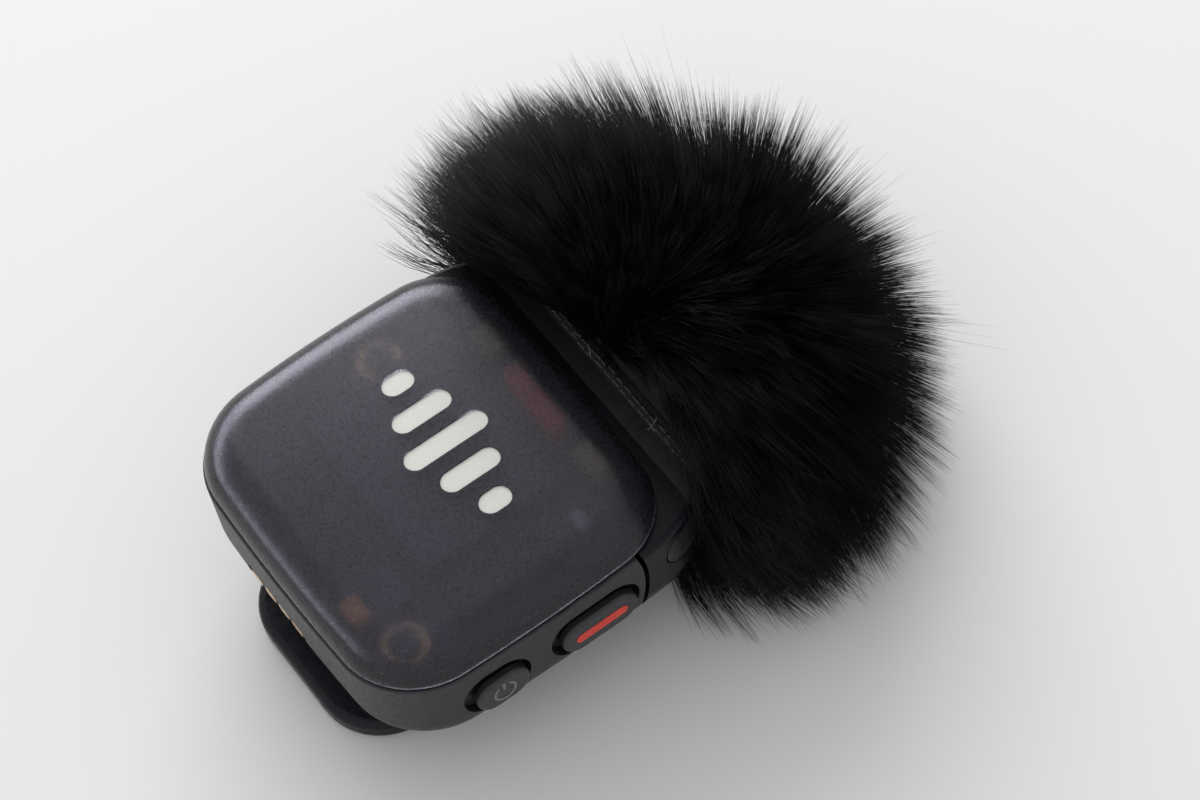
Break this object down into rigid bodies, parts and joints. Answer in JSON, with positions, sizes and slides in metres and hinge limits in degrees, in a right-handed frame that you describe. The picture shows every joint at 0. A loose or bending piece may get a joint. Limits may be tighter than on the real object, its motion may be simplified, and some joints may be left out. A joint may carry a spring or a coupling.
{
  "type": "lavalier microphone",
  "caption": "Cordless clip-on lavalier microphone: rounded square transmitter with a smoked cover, side buttons, a turning spring clip and a black fur windscreen.",
  "frame": {"origin": "where the clip's swivel axis meets the resting plane, on the clip lever's outer face", "axes": "+Z out of the front cover, +Y towards the sound inlet and the windscreen, +X towards the buttons"},
  "size_m": [0.0412, 0.0508, 0.0265],
  "materials": {
    "smoked_cover": "matt smoked see-through plastic",
    "emblem_white": "satin",
    "housing_plastic": "matt",
    "seal_rubber": "matt",
    "button_plastic": "satin",
    "record_red": "satin",
    "symbol_grey": "satin",
    "contact_gold": "gold plated",
    "steel": "satin",
    "dark_steel": "blackened",
    "brass": "satin",
    "board_green": "solder mask",
    "chip_black": "matt",
    "capacitor_olive": "matt",
    "capacitor_orange": "satin",
    "can_silver": "satin",
    "led_white": "satin",
    "boot_red": "matt",
    "battery_foil": "satin foil",
    "pad_foam": "foam",
    "flex_amber": "film",
    "clip_plastic": "satin",
    "magnet_nickel": "nickel plated",
    "collar_plastic": "satin",
    "foam_black": "open foam",
    "backing_knit": "knit",
    "fur_black": "long pile"
  },
  "bodies": {
    "transmitter": {"front_cover": "smoked_cover", "emblem_inlay": "emblem_white", "seam_gasket": "seal_rubber", "rear_housing": "housing_plastic", "head_cap": "housing_plastic", "contact_carrier": "chip_black", "contact_pads": "contact_gold", "button_seals": "seal_rubber", "record_switch": "chip_black", "power_switch": "chip_black", "switch_flex": "flex_amber", "main_board": "board_green", "shield_can": "can_silver", "board_chips": "chip_black", "tantalum_capacitors": "capacitor_olive", "orange_capacitor": "capacitor_orange", "crystal_can": "can_silver", "status_led": "led_white", "plated_rings": "contact_gold", "board_screws": "dark_steel", "head_screws": "dark_steel", "battery_cell": "battery_foil", "battery_pad": "pad_foam", "keeper_plate": "steel", "antenna_strip": "brass", "mic_boot": "boot_red", "mic_capsules": "steel", "capsule_gasket": "seal_rubber", "inlet_mesh": "steel", "swivel_bush": "brass", "swivel_spacer": "steel", "swivel_washer": "steel", "swivel_screw": "dark_steel"},
    "record_key": {"record_button": "button_plastic", "record_stripe": "record_red"},
    "power_key": {"power_button": "button_plastic", "power_symbol": "symbol_grey"},
    "swivel": {"swivel_base": "clip_plastic", "clip_pin": "steel"},
    "clip": {"clip_lever": "clip_plastic", "clip_pad": "seal_rubber", "clip_magnet": "magnet_nickel", "clip_spring": "steel"},
    "windscreen": {"windscreen_collar": "collar_plastic", "windscreen_foam": "foam_black", "windscreen_backing": "backing_knit", "windscreen_fur": "fur_black"}
  },
  "joints": [
    {"name": "record_press", "type": "slide", "parent": "transmitter", "child": "record_key", "axis": [-1, 0, 0], "range_m": [0, 0.0003], "stiffness_N_per_m": 1200, "springref_m": -0.0002},
    {"name": "power_press", "type": "slide", "parent": "transmitter", "child": "power_key", "axis": [-1, 0, 0], "range_m": [0, 0.0003], "stiffness_N_per_m": 1200, "springref_m": -0.0002},
    {"name": "clip_swivel", "type": "hinge", "parent": "transmitter", "child": "swivel", "pos_m": [0, 0, 0.005], "axis": [0, 0, 1], "continuous": true},
    {"name": "clip_open", "type": "hinge", "parent": "swivel", "child": "clip", "pos_m": [0, 0.006, 0.0033], "axis": [1, 0, 0], "range_deg": [0, 20], "stiffness_Nm_per_rad": 0.04, "springref_deg": -85.94},
    {"name": "windscreen_pull", "type": "slide", "parent": "transmitter", "child": "windscreen", "axis": [0, 1, 0], "range_m": [0, 0.012]}
  ]
}
